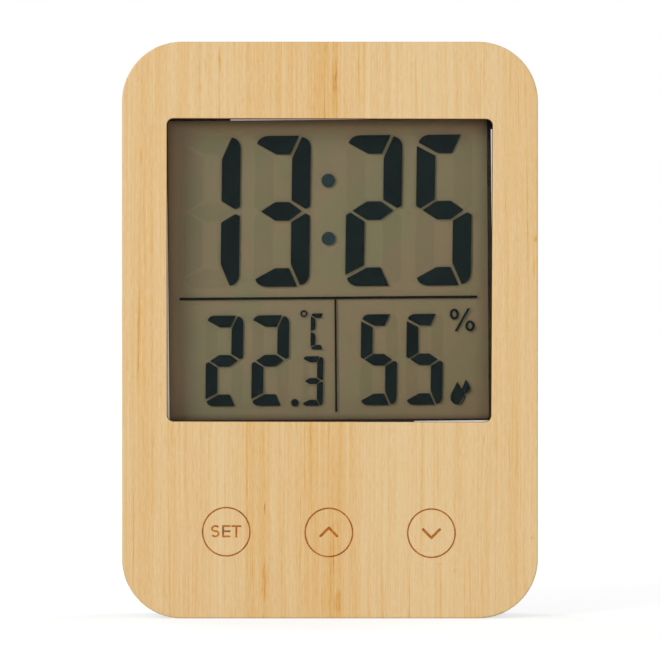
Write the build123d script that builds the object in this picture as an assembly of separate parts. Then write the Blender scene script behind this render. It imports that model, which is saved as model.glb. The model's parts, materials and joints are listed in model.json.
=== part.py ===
from build123d import *
import math
import os

# A free-standing indoor weather station with a clock, millimetres.
# +X is to the right seen from the front, +Y points to the back and +Z up.
# The origin is under the middle of the base, so the front face is at -DEPTH / 2.

# Outside of the whole object
WIDTH = 101.0
HEIGHT = 140.0
DEPTH = 22.0
CORNER_RADIUS = 14.5
FRONT = -DEPTH / 2
BACK = DEPTH / 2

# Bamboo panel and the tape that holds it
PANEL_THICKNESS = 3.0
PANEL_EDGE_ROUND = 0.4
WINDOW_TOP_WIDTH = 79.15
WINDOW_BOTTOM_WIDTH = 78.7
WINDOW_HEIGHT = 73.58
WINDOW_RADIUS = 1.6
WINDOW_X = -0.13
WINDOW_Z = 84.52
WINDOW_TURN = -0.12
WINDOW_EDGE_ROUND = 0.2
TAPE_THICKNESS = 0.3
TAPE_WIDTH = 4.0
PANEL_BACK = FRONT + PANEL_THICKNESS
CASE_FRONT = PANEL_BACK + TAPE_THICKNESS

# The display, its lens and the tape strips sit slightly turned in the case, in degrees
DISPLAY_TURN = 0.45
LENS_X = -0.25
LENS_Z = 84.6
TAPE_TURN = 0.57
TAPE_OPENING = (78.89, 73.55)
TAPE_OPENING_MIDDLE = (0.28, -0.18)
TAPE_TOP_START = -23.6
TAPE_RIGHT_END = 33.9
TAPE_BOTTOM_CUT = 20.4
TAPE_BOTTOM_DROP = 0.6
LOWER_TAPE_Z = 9.0
LOWER_TAPE_LENGTH = 60.0

# Touch keys: places along the panel, and the engraved marks, whose rings are slightly oval
KEY_PITCH = 24.9
KEY_Z = 20.85
KEY_ROW_X = -0.27
KEY_ROW_TURN = -0.4
KEY_HOLE_RADIUS = 5.3
RING_HALF_WIDTH = 5.75
RING_HALF_HEIGHT = 5.88
RING_STROKE = 0.34
LETTER_STROKE = 0.44
MARK_LIFT = 0.12
ENGRAVING_DEPTH = 0.2
KEY_PLACES = (-KEY_PITCH, 0.0, KEY_PITCH)
SET_HEIGHT = 2.95
SET_WIDTHS = (2.05, 2.0, 2.4)
SET_SPREAD = 2.65

# Case
CASE_INSET = 0.15
CASE_RADIUS = CORNER_RADIUS - CASE_INSET
CASE_WIDTH = WIDTH - 2 * CASE_INSET
CASE_HEIGHT = HEIGHT - CASE_INSET
WALL = 1.8
PLATE_THICKNESS = 2.2
PLATE_BACK = CASE_FRONT + PLATE_THICKNESS
SPLIT = PLATE_BACK + 0.9
SPLIT_GROOVE = 0.3
BACK_INSIDE = BACK - WALL
BACK_EDGE_ROUND = 2.5
LIP_THICKNESS = 0.9
LIP_GAP = 0.1
LIP_END = SPLIT + 2.0

# Display stack, from the lens to the reflector
LENS_SIZE = (84.5, 79.0)
LENS_THICKNESS = 1.0
LENS_BACK = CASE_FRONT + LENS_THICKNESS
DISPLAY_OPENING = (77.8, 73.05)
DISPLAY_OPENING_X = -0.4
DISPLAY_OPENING_TURN = 0.4
DISPLAY_X = -0.5
DISPLAY_Z = 84.7
POLARISER_THICKNESS = 0.2
GLASS_THICKNESS = 1.1
REFLECTOR_THICKNESS = 0.25
GLASS_WIDTH = 84.0
GLASS_TOP = 38.5
CONTACT_LEDGE = 3.8
POLARISER_SIZE = (82.0, 75.4)
FRONT_GLASS = PLATE_BACK + POLARISER_THICKNESS
REAR_GLASS = FRONT_GLASS + GLASS_THICKNESS
REFLECTOR = REAR_GLASS + GLASS_THICKNESS
DISPLAY_BACK = REFLECTOR + REFLECTOR_THICKNESS

# Circuit board
BOARD_FRONT = -1.0
BOARD_THICKNESS = 1.2
BOARD_BACK = BOARD_FRONT + BOARD_THICKNESS
BOARD_HALF_WIDTH = 47.2
BOARD_BOTTOM = 14.2
BOARD_TOP = 80.0
BOARD_SCREWS = [(x, z) for x in (-45.2, 45.2) for z in (30.0, 74.0)]
HOLDER_SCREWS = [(x, 104.0) for x in (-45.2, 45.2)]
CASE_SCREWS = [(x, z) for x in (-38.0, 38.0) for z in (10.0, 129.5)]
HOLDER_OUTER = (42.8, 42.8, 125.0)
HOLDER_INNER = (33.0, 52.0, 118.0)

# Small screws: shank radius, head radius and head height
BOARD_SCREW = (0.85, 1.8, 1.2)
CASE_SCREW = (1.1, 2.1, 1.5)
BOSS_RADIUS = 2.2
CASE_BOSS_RADIUS = 2.75
REAR_BOSS_RADIUS = 3.5
REAR_BOSS_FRONT = 1.0
COUNTERBORE_FLOOR = 4.0
COUNTERBORE_RADIUS = 2.5

# Batteries, size AAA, lying across the case one above the other
CELL_RADIUS = 5.15
CELL_LENGTH = 44.5
NUB_RADIUS = 1.9
NUB_LENGTH = 0.8
CELL_Y = 3.8
WELL_MIDDLE_Z = 98.6
CELL_SPACING = 11.2
LOWER_CELL_Z = WELL_MIDDLE_Z - CELL_SPACING / 2
UPPER_CELL_Z = WELL_MIDDLE_Z + CELL_SPACING / 2
WELL_HALF_LENGTH = 25.2
WELL_BOTTOM = 87.2
WELL_TOP = 110.0
WELL_FLOOR = -1.6
WELL_BOX = (29.0, 81.4, 114.2)
WELL_BOX_FRONT = -2.6
CONTACT_THICKNESS = 0.3
DIMPLE_HEIGHT = 0.5

# Battery cover
COVER_HALF_WIDTH = 27.0
COVER_BOTTOM = 84.8
COVER_TOP = 112.35
COVER_FRONT = BACK_INSIDE + 0.1
COVER_GAP = 0.2
COVER_RADIUS = 2.0
TAB_PLACES = (-14.0, 14.0)
TAB_WIDTH = 7.0

# Fold-out stand
STAND_HALF_WIDTH = 23.4
STAND_BOTTOM = 5.8
STAND_OUTER = BACK - 0.1
STAND_THICKNESS = 2.8
HINGE_Y = 8.9
HINGE_Z = 62.5
BARREL_RADIUS = 1.9
PIN_RADIUS = 1.25
PIN_LENGTH = 3.2
PIN_HOLE_RADIUS = PIN_RADIUS + 0.1
RECESS_HALF_WIDTH = 23.8
RECESS_BOTTOM = 5.0
RECESS_TOP = 65.6
RECESS_FLOOR = 6.9
RECESS_WALL = 1.4
NOTCH_RADIUS = 7.0
NOTCH_FLOOR = 5.6

# Wall hanging keyhole
KEYHOLE_Z = 121.0
KEYHOLE_RADIUS = 4.0
KEYHOLE_SLOT = 2.0
KEYHOLE_RISE = 7.0
KEYHOLE_HEAD_ROOM = 4.4
KEYHOLE_POCKET_DEPTH = 4.0
KEYHOLE_POCKET_WALL = 1.2

# Vents over the sensor and sound holes over the buzzer
VENT_X = 38.5
VENT_Z = 57.0
VENT_COUNT = 5
VENT_PITCH = 2.6
VENT_SIZE = (1.3, 13.0)
BUZZER_X = -38.5
BUZZER_RADIUS = 5.0
SOUND_HOLE_RADIUS = 0.75


def slab(sketch, front, back):
    """Extrudes a sketch, drawn in X and Z, from one depth to another behind it."""
    return extrude(Plane.XZ.offset(-back) * sketch, back - front)


def rounded(width, height, radius, x=0.0, z=0.0):
    return Pos(x, z) * RectangleRounded(width, height, radius)


def block(x_range, y_range, z_range):
    """A plain box between two values along each axis."""
    size = [b - a for a, b in (x_range, y_range, z_range)]
    middle = [(a + b) / 2 for a, b in (x_range, y_range, z_range)]
    return Pos(*middle) * Box(*size)


def rod(radius, x, z, front, back):
    """A round bar along Y."""
    return slab(Pos(x, z) * Circle(radius), front, back)


def cross_rod(radius, y, z, left, right):
    """A round bar along X."""
    return Pos((left + right) / 2, y, z) * Rot(0, 90, 0) * Cylinder(radius, right - left)


def in_display(sketch, x=0.0, z=0.0):
    """Places a sketch from the middle of the display, with the display's own turn."""
    return Pos(DISPLAY_X, DISPLAY_Z) * Rot(0, 0, DISPLAY_TURN) * Pos(x, z) * sketch


def in_lens(sketch):
    """Places a sketch at the middle of the lens, turned as the display is."""
    return Pos(LENS_X, LENS_Z) * Rot(0, 0, DISPLAY_TURN) * sketch


def case_outline(inset=0.0):
    width = CASE_WIDTH - 2 * inset
    height = CASE_HEIGHT - 2 * inset
    return rounded(width, height, CASE_RADIUS - inset, z=CASE_HEIGHT / 2)


def edges_at_depth(shape, depth):
    """The edges that lie wholly at one depth."""
    return shape.edges().filter_by_position(Axis.Y, depth - 0.01, depth + 0.01)


# Panel


def wedge(radius, start, end):
    """A pie slice, from one angle to another in degrees, under half a turn."""
    tips = [(radius * math.cos(math.radians(a)), radius * math.sin(math.radians(a)))
            for a in (start, (start + end) / 2, end)]
    return make_face(Polyline((0, 0), *tips, close=True))


def letter_s(width, height, stroke):
    """Two stacked oval rings, each with a slice left open."""
    half_width = width / 2
    ring_height = (height + stroke) / 4
    ring = Ellipse(half_width, ring_height) - Ellipse(half_width - stroke, ring_height - stroke)
    rise = height / 2 - ring_height
    upper = ring - wedge(height, -90, 25)
    lower = ring - wedge(height, 90, 205)
    return Pos(0, rise) * upper + Pos(0, -rise) * lower


def letter_e(width, height, stroke):
    face = Pos(stroke / 2 - width / 2, 0) * Rectangle(stroke, height)
    for z in (-(height - stroke) / 2, 0.0, (height - stroke) / 2):
        face += Pos(0, z) * Rectangle(width, stroke)
    return face


def letter_t(width, height, stroke):
    top = Pos(0, (height - stroke) / 2) * Rectangle(width, stroke)
    return top + Rectangle(stroke, height)


def set_mark():
    """The plain key label."""
    mark = Pos(-SET_SPREAD, 0) * letter_s(SET_WIDTHS[0], SET_HEIGHT, LETTER_STROKE)
    mark += letter_e(SET_WIDTHS[1], SET_HEIGHT, LETTER_STROKE)
    mark += Pos(SET_SPREAD - 0.2, 0) * letter_t(SET_WIDTHS[2], SET_HEIGHT, LETTER_STROKE)
    return Pos(0, MARK_LIFT) * mark


def chevron_mark(up):
    half_width = 2.0
    rise = 2.0
    stroke = 0.64
    slope = math.hypot(half_width, rise)
    angle = math.degrees(math.atan2(rise, half_width))
    bar = SlotCenterToCenter(slope, stroke)
    left = Pos(-half_width / 2, 0) * Rot(0, 0, angle) * bar
    right = Pos(half_width / 2, 0) * Rot(0, 0, -angle) * bar
    mark = Pos(0, MARK_LIFT) * (left + right)
    return mark if up else Rot(0, 0, 180) * mark


def key_row():
    """The three engraved keys: a ring round each mark."""
    marks = (set_mark(), chevron_mark(True), chevron_mark(False))
    row = Sketch()
    for x, mark in zip(KEY_PLACES, marks):
        outer = Ellipse(RING_HALF_WIDTH + RING_STROKE / 2, RING_HALF_HEIGHT + RING_STROKE / 2)
        inner = Ellipse(RING_HALF_WIDTH - RING_STROKE / 2, RING_HALF_HEIGHT - RING_STROKE / 2)
        row += Pos(x, 0) * (outer - inner + mark)
    return Pos(KEY_ROW_X, KEY_Z) * Rot(0, 0, KEY_ROW_TURN) * row


def window_outline():
    """The cut is slightly wider at its top than at its bottom."""
    top = WINDOW_TOP_WIDTH / 2
    bottom = WINDOW_BOTTOM_WIDTH / 2
    half = WINDOW_HEIGHT / 2
    corners = [(-top, half), (top, half), (bottom, -half), (-bottom, -half)]
    face = make_face(Polyline(*corners, close=True))
    face = fillet(face.vertices(), WINDOW_RADIUS)
    return Pos(WINDOW_X, WINDOW_Z) * Rot(0, 0, WINDOW_TURN) * face


def bamboo_panel():
    outline = rounded(WIDTH, HEIGHT, CORNER_RADIUS, z=HEIGHT / 2)
    panel = slab(outline, FRONT, PANEL_BACK)
    panel = fillet(edges_at_depth(panel, FRONT), PANEL_EDGE_ROUND)
    panel -= slab(window_outline(), FRONT, PANEL_BACK)
    rim = edges_at_depth(panel, FRONT).filter_by(
        lambda e: abs(e.center().X - WINDOW_X) < WINDOW_TOP_WIDTH / 2 + 1
        and abs(e.center().Z - WINDOW_Z) < WINDOW_HEIGHT / 2 + 1
    )
    panel = fillet(rim, WINDOW_EDGE_ROUND)
    return panel - slab(key_row(), FRONT, FRONT + ENGRAVING_DEPTH)


def panel_tape():
    """Double-sided tape: strips round the window, the lower one in two, and one behind the keys."""
    width, height = TAPE_OPENING
    x, z = TAPE_OPENING_MIDDLE
    left = x - width / 2
    right = x + width / 2
    bottom = z - height / 2
    top = z + height / 2
    low = bottom - TAPE_BOTTOM_DROP
    strips = [
        (left - TAPE_WIDTH, left, low, top - 1.0),
        (right, right + TAPE_WIDTH, bottom, TAPE_RIGHT_END),
        (left - TAPE_WIDTH, TAPE_BOTTOM_CUT - 0.2, low - TAPE_WIDTH, low),
        (TAPE_BOTTOM_CUT, right + TAPE_WIDTH, bottom - TAPE_WIDTH, bottom),
        (TAPE_TOP_START, right - 0.6, top, top + TAPE_WIDTH),
    ]
    tape = []
    for x0, x1, z0, z1 in strips:
        strip = Pos((x0 + x1) / 2, (z0 + z1) / 2) * Rectangle(x1 - x0, z1 - z0)
        strip = Pos(LENS_X, LENS_Z) * Rot(0, 0, TAPE_TURN) * strip
        tape.append(slab(strip, PANEL_BACK, CASE_FRONT))
    lower = Pos(0, LOWER_TAPE_Z) * Rectangle(LOWER_TAPE_LENGTH, TAPE_WIDTH)
    tape.append(slab(lower, PANEL_BACK, CASE_FRONT))
    return Compound(children=tape)


# Case


def front_frame():
    """The front half of the case, which holds the lens, the display and the board."""
    frame = slab(case_outline(), CASE_FRONT, SPLIT)
    frame -= slab(case_outline(WALL), PLATE_BACK, SPLIT)
    lip = case_outline(WALL + LIP_GAP) - case_outline(WALL + LIP_GAP + LIP_THICKNESS)
    frame += slab(lip, PLATE_BACK, LIP_END)
    lens = in_lens(RectangleRounded(LENS_SIZE[0] + 0.2, LENS_SIZE[1] + 0.2, 1.0))
    frame -= slab(lens, CASE_FRONT, LENS_BACK)
    opening = RectangleRounded(*DISPLAY_OPENING, 0.8)
    opening = Pos(DISPLAY_OPENING_X, DISPLAY_Z) * Rot(0, 0, DISPLAY_OPENING_TURN) * opening
    frame -= slab(opening, CASE_FRONT, PLATE_BACK)
    for x in KEY_PLACES:
        frame -= rod(KEY_HOLE_RADIUS, x, KEY_Z, CASE_FRONT, PLATE_BACK)
    for x, z in BOARD_SCREWS:
        frame += rod(BOSS_RADIUS, x, z, PLATE_BACK, BOARD_FRONT)
        frame -= rod(BOARD_SCREW[0], x, z, PLATE_BACK + 0.6, BOARD_FRONT)
    for x, z in HOLDER_SCREWS:
        frame += rod(BOSS_RADIUS, x, z, PLATE_BACK, DISPLAY_BACK)
        frame -= rod(BOARD_SCREW[0], x, z, PLATE_BACK - 1.0, DISPLAY_BACK)
    for x, z in CASE_SCREWS:
        frame += rod(CASE_BOSS_RADIUS, x, z, PLATE_BACK, REAR_BOSS_FRONT - 0.1)
        frame -= rod(CASE_SCREW[0], x, z, PLATE_BACK + 0.6, REAR_BOSS_FRONT - 0.1)
    return frame


def battery_well(shell):
    """Adds the battery box, then cuts its inside, the cover's rebate and the tab slots."""
    half, bottom, top = WELL_BOX
    shell += block((-half, half), (WELL_BOX_FRONT, BACK_INSIDE), (bottom, top))
    inside = (-WELL_HALF_LENGTH, WELL_HALF_LENGTH)
    shell -= block(inside, (WELL_FLOOR, BACK), (WELL_BOTTOM, WELL_TOP))
    rebate_height = COVER_TOP - COVER_BOTTOM + 2 * COVER_GAP
    rebate = rounded(
        2 * (COVER_HALF_WIDTH + COVER_GAP),
        rebate_height,
        COVER_RADIUS + COVER_GAP,
        z=(COVER_TOP + COVER_BOTTOM) / 2,
    )
    shell -= slab(rebate, BACK_INSIDE, BACK)
    for x in TAB_PLACES:
        half_slot = TAB_WIDTH / 2 + 0.3
        shell -= block((x - half_slot, x + half_slot), (7.0, BACK_INSIDE), (82.7, WELL_BOTTOM))
    rib = block((-12.0, 12.0), (WELL_FLOOR, WELL_FLOOR + 2.4),
                (WELL_MIDDLE_Z - 0.3, WELL_MIDDLE_Z + 0.3))
    shell += rib
    for z in (LOWER_CELL_Z, UPPER_CELL_Z):
        shell -= block((-half, -WELL_HALF_LENGTH), (-1.4, -0.9), (z - 1.7, z + 1.7))
    nail_scoop = Pos(0, BACK + 4.6, COVER_TOP) * Cylinder(5.8, 14.0, rotation=(0, 90, 0))
    return shell - nail_scoop


def stand_recess(shell):
    """Adds the pocket that the stand folds into, with its hinge blocks and finger notch."""
    half = RECESS_HALF_WIDTH + RECESS_WALL
    box_front = RECESS_FLOOR - RECESS_WALL
    shell += block((-half, half), (box_front, BACK_INSIDE),
                   (RECESS_BOTTOM - RECESS_WALL, RECESS_TOP + RECESS_WALL))
    hinge_half = RECESS_HALF_WIDTH + PIN_LENGTH + 1.8
    shell += block((-hinge_half, hinge_half), (box_front, BACK_INSIDE), (58.6, 66.4))
    notch_half = NOTCH_RADIUS + 0.5
    notch_top = RECESS_BOTTOM + NOTCH_RADIUS + 1.0
    shell += block((-notch_half - RECESS_WALL, notch_half + RECESS_WALL),
                   (NOTCH_FLOOR - RECESS_WALL, box_front),
                   (RECESS_BOTTOM - RECESS_WALL, notch_top + RECESS_WALL))
    recess = rounded(2 * RECESS_HALF_WIDTH, RECESS_TOP - RECESS_BOTTOM, 1.5,
                     z=(RECESS_TOP + RECESS_BOTTOM) / 2)
    shell -= slab(recess, RECESS_FLOOR, BACK)
    shell -= block((-notch_half, notch_half), (NOTCH_FLOOR, RECESS_FLOOR),
                   (RECESS_BOTTOM + 0.4, notch_top))
    hole_end = RECESS_HALF_WIDTH + PIN_LENGTH + 0.2
    return shell - cross_rod(PIN_HOLE_RADIUS, HINGE_Y, HINGE_Z, -hole_end, hole_end)


def keyhole_pocket(shell):
    """Adds a closed box behind the keyhole, with room for the head of the wall screw."""
    wall = KEYHOLE_POCKET_WALL
    floor = BACK_INSIDE - KEYHOLE_POCKET_DEPTH
    bottom = KEYHOLE_Z - KEYHOLE_HEAD_ROOM
    top = KEYHOLE_Z + KEYHOLE_RISE + KEYHOLE_HEAD_ROOM
    half = KEYHOLE_HEAD_ROOM + wall
    shell += block((-half, half), (floor - wall, BACK_INSIDE), (bottom - wall, top + wall))
    room = (-KEYHOLE_HEAD_ROOM, KEYHOLE_HEAD_ROOM)
    return shell - block(room, (floor, BACK_INSIDE), (bottom, top))


def keyhole():
    slot = Pos(0, KEYHOLE_Z + KEYHOLE_RISE / 2) * Rot(0, 0, 90) * SlotCenterToCenter(
        KEYHOLE_RISE, 2 * KEYHOLE_SLOT)
    return slab(Pos(0, KEYHOLE_Z) * Circle(KEYHOLE_RADIUS) + slot, BACK_INSIDE, BACK)


def vents():
    """Upright slots over the sensors, and a round cluster of holes over the buzzer."""
    holes = Sketch()
    for i in range(VENT_COUNT):
        x = VENT_X + (i - (VENT_COUNT - 1) / 2) * VENT_PITCH
        slot = SlotOverall(VENT_SIZE[1], VENT_SIZE[0])
        holes += Pos(x, VENT_Z) * Rot(0, 0, 90) * slot
    holes += Pos(BUZZER_X, VENT_Z) * Circle(SOUND_HOLE_RADIUS)
    for i in range(6):
        angle = math.radians(60 * i)
        spot = (BUZZER_X + 3.0 * math.cos(angle), VENT_Z + 3.0 * math.sin(angle))
        holes += Pos(*spot) * Circle(SOUND_HOLE_RADIUS)
    return slab(holes, BACK_INSIDE, BACK)


def rear_shell():
    shell = slab(case_outline(), SPLIT, BACK)
    shell = fillet(edges_at_depth(shell, BACK), BACK_EDGE_ROUND)
    shell -= slab(case_outline(WALL), SPLIT, BACK_INSIDE)
    groove = case_outline() - case_outline(SPLIT_GROOVE)
    shell -= slab(groove, SPLIT, SPLIT + SPLIT_GROOVE)
    for x, z in CASE_SCREWS:
        shell += rod(REAR_BOSS_RADIUS, x, z, REAR_BOSS_FRONT, BACK_INSIDE)
        shell -= rod(COUNTERBORE_RADIUS, x, z, COUNTERBORE_FLOOR, BACK)
        shell -= rod(CASE_SCREW[0] + 0.15, x, z, REAR_BOSS_FRONT, COUNTERBORE_FLOOR)
    shell = battery_well(shell)
    shell = stand_recess(shell)
    shell = keyhole_pocket(shell)
    return shell - keyhole() - vents()


def battery_cover():
    """Tilts out about its lower edge, where two tabs reach behind the case wall."""
    outline = rounded(2 * COVER_HALF_WIDTH, COVER_TOP - COVER_BOTTOM, COVER_RADIUS,
                      z=(COVER_TOP + COVER_BOTTOM) / 2)
    cover = slab(outline, COVER_FRONT, BACK)
    for x in TAB_PLACES:
        span = (x - TAB_WIDTH / 2, x + TAB_WIDTH / 2)
        cover += block(span, (7.9, COVER_FRONT), (83.0, 86.5))
        cover -= block(span, (BACK_INSIDE - 0.1, COVER_FRONT), (83.0, COVER_BOTTOM))
    cover += block((-5.0, 5.0), (7.7, COVER_FRONT), (108.5, 109.4))
    for i in range(4):
        z = 108.6 - 1.7 * i
        cover -= slab(Pos(0, z) * SlotOverall(14.0 - 1.6 * i, 0.7), BACK - 0.4, BACK)
    arrow = make_face(Polyline((-2.4, 0), (2.4, 0), (0, -3.2), close=True))
    return cover - slab(Pos(0, 101.4) * arrow, BACK - 0.35, BACK)


def stand_flap():
    """A flat leg with a barrel, two pins and a heel that stops it when it is out."""
    tip = STAND_BOTTOM
    inner = STAND_OUTER - STAND_THICKNESS
    height = HINGE_Z - tip
    face = rounded(2 * STAND_HALF_WIDTH, height, 1.3, z=tip + height / 2)
    face += Pos(0, HINGE_Z - 4.0) * Rectangle(2 * STAND_HALF_WIDTH, 8.0)
    face -= Pos(0, tip) * Circle(NOTCH_RADIUS)
    leg = slab(face, inner, STAND_OUTER)
    leg += cross_rod(BARREL_RADIUS, HINGE_Y, HINGE_Z, -STAND_HALF_WIDTH, STAND_HALF_WIDTH)
    heel = block((-STAND_HALF_WIDTH, STAND_HALF_WIDTH), (HINGE_Y - 1.0, HINGE_Y + 0.9),
                 (HINGE_Z, HINGE_Z + 2.0))
    leg += heel
    pocket = rounded(34.0, 26.0, 2.0, z=36.0) - rounded(31.6, 23.6, 1.2, z=36.0)
    leg -= slab(pocket, STAND_OUTER - 0.4, STAND_OUTER)
    reach = STAND_HALF_WIDTH + PIN_LENGTH
    return leg + cross_rod(PIN_RADIUS, HINGE_Y, HINGE_Z, -reach, reach)


# Display


def window_lens():
    return slab(in_lens(RectangleRounded(*LENS_SIZE, 0.9)), CASE_FRONT, LENS_BACK)


def lcd_front_polariser():
    sheet = in_display(Rectangle(*POLARISER_SIZE), 0, 0.3)
    return slab(sheet, PLATE_BACK, FRONT_GLASS)


def glass_sheet(bottom):
    height = GLASS_TOP - bottom
    return in_display(Rectangle(GLASS_WIDTH, height), 0, bottom + height / 2)


def lcd_front_glass():
    """Reaches lower than the rear glass, which bares its contacts."""
    return slab(glass_sheet(-37.4 - CONTACT_LEDGE), FRONT_GLASS, REAR_GLASS)


def lcd_rear_glass():
    return slab(glass_sheet(-37.4), REAR_GLASS, REFLECTOR)


def lcd_reflector():
    sheet = in_display(Rectangle(*POLARISER_SIZE), 0, 0.3)
    return slab(sheet, REFLECTOR, DISPLAY_BACK)


def zebra_connector():
    """A rubber strip that joins the contacts on the front glass to the board."""
    strip = in_display(Rectangle(76.0, 2.0), 0, -37.4 - CONTACT_LEDGE / 2)
    return slab(strip, REAR_GLASS, BOARD_FRONT)


def lcd_holder():
    """A flat ring that presses the display against the front frame."""
    half, bottom, top = HOLDER_OUTER
    hole_half, hole_bottom, hole_top = HOLDER_INNER
    ring = rounded(2 * half, top - bottom, 2.0, z=(top + bottom) / 2)
    for x, z in HOLDER_SCREWS:
        ear_x = math.copysign(half, x)
        ring += rounded(2 * (abs(x) - half) + 4.0, 6.4, 1.0, x=ear_x, z=z)
        ring -= Pos(x, z) * Circle(BOARD_SCREW[0] + 0.15)
    ring -= rounded(2 * hole_half, hole_top - hole_bottom, 3.0, z=(hole_top + hole_bottom) / 2)
    ring -= in_display(Rectangle(76.6, 2.6), 0, -37.4 - CONTACT_LEDGE / 2)
    return slab(ring, DISPLAY_BACK, BOARD_FRONT)


# Electronics


def main_circuit_board():
    height = BOARD_TOP - BOARD_BOTTOM
    outline = rounded(2 * BOARD_HALF_WIDTH, height, 3.0, z=BOARD_BOTTOM + height / 2)
    for x, z in BOARD_SCREWS:
        outline -= Pos(x, z) * Circle(BOARD_SCREW[0] + 0.15)
    return slab(outline, BOARD_FRONT, BOARD_BACK)


def controller_chip():
    """A dome of black resin over the bare chip."""
    dome = rod(7.0, -2.0, 48.0, BOARD_BACK, BOARD_BACK + 1.6)
    return fillet(edges_at_depth(dome, BOARD_BACK + 1.6), 1.4)


def leg_row(x, z, pitch, count, reach):
    """Bent pins along both sides of a chip."""
    legs = []
    for i in range(count):
        z_leg = z + (i - (count - 1) / 2) * pitch
        legs.append(block((x - reach, x + reach), (BOARD_BACK, BOARD_BACK + 0.3),
                          (z_leg - 0.2, z_leg + 0.2)))
    return legs


def touch_chip():
    x, z = 12.0, 34.0
    body = block((x - 1.95, x + 1.95), (BOARD_BACK + 0.1, BOARD_BACK + 1.6), (z - 2.45, z + 2.45))
    for leg in leg_row(x, z, 1.27, 4, 3.0):
        body += leg
    return body


def clock_crystal():
    can = Pos(16.0, BOARD_BACK + 1.05, 58.0) * Cylinder(1.0, 6.0)
    for x in (15.65, 16.35):
        can += block((x - 0.15, x + 0.15), (BOARD_BACK, BOARD_BACK + 1.05), (54.0, 55.1))
    return can


def smoothing_capacitor():
    can = rod(2.5, 15.0, 73.5, BOARD_BACK + 0.4, BOARD_BACK + 5.6)
    can = fillet(edges_at_depth(can, BOARD_BACK + 5.6), 0.4)
    base = block((12.4, 17.6), (BOARD_BACK, BOARD_BACK + 0.5), (70.9, 76.1))
    return can + base


def buzzer():
    can = rod(BUZZER_RADIUS, BUZZER_X, VENT_Z, BOARD_BACK, BOARD_BACK + 5.0)
    can = fillet(edges_at_depth(can, BOARD_BACK + 5.0), 0.5)
    return can - rod(1.0, BUZZER_X, VENT_Z, BOARD_BACK + 2.5, BOARD_BACK + 5.0)


def humidity_sensor():
    body = block((VENT_X - 2.5, VENT_X + 2.5), (BOARD_BACK, BOARD_BACK + 1.4),
                 (VENT_Z - 5.5, VENT_Z - 0.5))
    return body - rod(1.2, VENT_X, VENT_Z - 3.0, BOARD_BACK + 0.9, BOARD_BACK + 1.4)


def temperature_sensor():
    """A bead thermistor on two legs that stand off the board."""
    bead_y = BOARD_BACK + 3.4
    bead = Pos(VENT_X, bead_y, VENT_Z + 4.0) * Sphere(1.2)
    for x in (VENT_X - 0.7, VENT_X + 0.7):
        bead += rod(0.2, x, VENT_Z + 4.0, BOARD_BACK, bead_y)
    return bead


def coil(radius, wire, length, turns):
    """A wire spring along +Z from its own origin."""
    path = Helix(pitch=(length - wire) / turns, height=length - wire, radius=radius)
    path = Pos(0, 0, wire / 2) * path
    section = Plane(origin=path @ 0, z_dir=path % 0) * Circle(wire / 2)
    return sweep(section, path=path, is_frenet=True)


def touch_spring(x):
    """Carries a key's electrode from the board to the back of the panel."""
    row = Pos(KEY_ROW_X, 0, KEY_Z) * Rot(0, -KEY_ROW_TURN, 0)
    spring = Rot(90, 0, 0) * coil(4.2, 0.6, BOARD_FRONT - PANEL_BACK, 3.5)
    return row * Pos(x, BOARD_FRONT, 0) * spring


def screw(x, z, head_back, length, sizes):
    """A pan-head screw driven from the back, with a cross slot."""
    shank, head, height = sizes
    body = rod(shank, x, z, head_back - height - length, head_back - height)
    cap = rod(head, x, z, head_back - height, head_back)
    cap = fillet(edges_at_depth(cap, head_back), height * 0.45)
    cross = Rectangle(head * 1.1, 0.4) + Rectangle(0.4, head * 1.1)
    return body + cap - slab(Pos(x, z) * cross, head_back - height * 0.5, head_back)


def screws(places, head_back, length, sizes):
    return Compound(children=[screw(x, z, head_back, length, sizes) for x, z in places])


# Batteries


def cell(z, side):
    """One AAA cell. side is 1 when its positive nub points to +X."""
    tip = WELL_HALF_LENGTH - CONTACT_THICKNESS - DIMPLE_HEIGHT
    body = cross_rod(CELL_RADIUS, CELL_Y, z, tip - CELL_LENGTH, tip - NUB_LENGTH)
    body = fillet(body.edges(), 0.5)
    body += cross_rod(NUB_RADIUS, CELL_Y, z, tip - NUB_LENGTH - 0.1, tip)
    return body if side > 0 else mirror(body, Plane.YZ)


def contact_plate(z, tab=True):
    """A thin spring-steel plate at the -X end of the well, with a soldering tab."""
    inner = -WELL_HALF_LENGTH + CONTACT_THICKNESS
    plate = block((-WELL_HALF_LENGTH, inner), (-1.3, 8.0), (z - 4.6, z + 4.6))
    if tab:
        plate += block((-31.0, inner), (-1.3, -1.0), (z - 1.5, z + 1.5))
    return plate


def contact_dimple(z):
    inner = -WELL_HALF_LENGTH + CONTACT_THICKNESS
    return cross_rod(2.2, CELL_Y, z, inner - 0.05, inner + DIMPLE_HEIGHT)


def contact_spring(z):
    """A coil from the plate to the flat end of a cell, joined to the plate."""
    inner = -WELL_HALF_LENGTH + CONTACT_THICKNESS
    gap = 2 * WELL_HALF_LENGTH - 2 * CONTACT_THICKNESS - DIMPLE_HEIGHT - CELL_LENGTH
    spring = Rot(0, 90, 0) * coil(2.9, 0.5, gap + 0.1, 3)
    return Pos(inner - 0.1, CELL_Y, z) * spring


def battery_negative_contact():
    return contact_plate(LOWER_CELL_Z) + contact_spring(LOWER_CELL_Z)


def battery_positive_contact():
    return contact_plate(UPPER_CELL_Z) + contact_dimple(UPPER_CELL_Z)


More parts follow.
